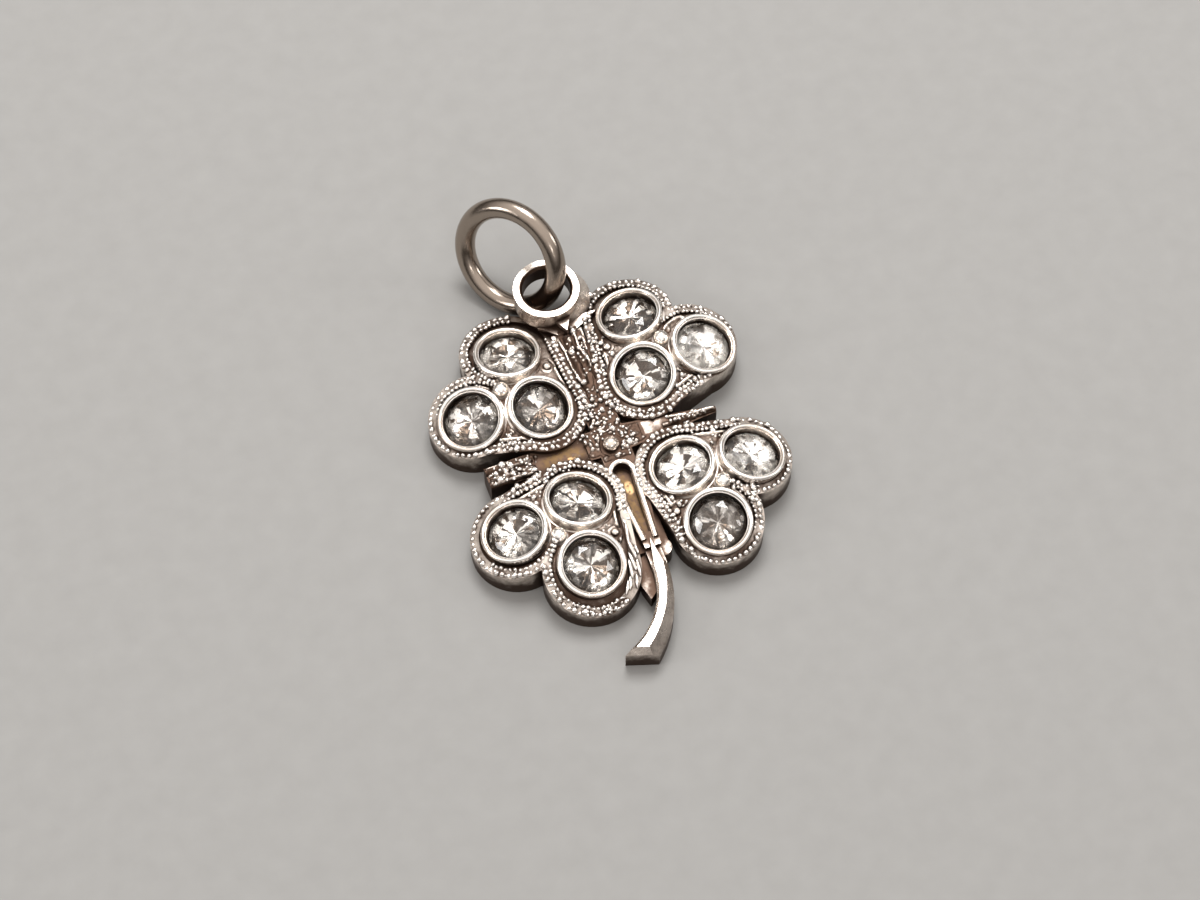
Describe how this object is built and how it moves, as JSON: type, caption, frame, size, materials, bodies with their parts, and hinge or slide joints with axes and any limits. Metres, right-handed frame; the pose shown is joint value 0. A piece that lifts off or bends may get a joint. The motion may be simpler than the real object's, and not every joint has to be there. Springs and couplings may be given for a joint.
{
  "type": "four leaf clover pendant",
  "caption": "Small lying charm: four domed heart-shaped leaves set with round stones in rolled cups, a curved stem, an eye and a round jump ring.",
  "frame": {"origin": "on the flat back, under the middle of the clover where the four leaves meet", "axes": "+Z out of the face, +Y from the middle of the clover to the eye, +X to the right of the face"},
  "size_m": [0.0157, 0.0237, 0.0056],
  "materials": {
    "setting_metal": "worn bright silver with brown tarnish in the recesses",
    "stone": "clear, faceted and polished",
    "ring_metal": "smooth drawn wire, slightly dulled"
  },
  "bodies": {
    "root": {"clover_setting": "setting_metal", "stone_ul_in": "stone", "stone_ul_top": "stone", "stone_ul_out": "stone", "stone_ur_in": "stone", "stone_ur_top": "stone", "stone_ur_out": "stone", "stone_ll_in": "stone", "stone_ll_low": "stone", "stone_ll_out": "stone", "stone_lr_in": "stone", "stone_lr_low": "stone", "stone_lr_out": "stone", "jump_ring": "ring_metal"}
  },
  "joints": []
}
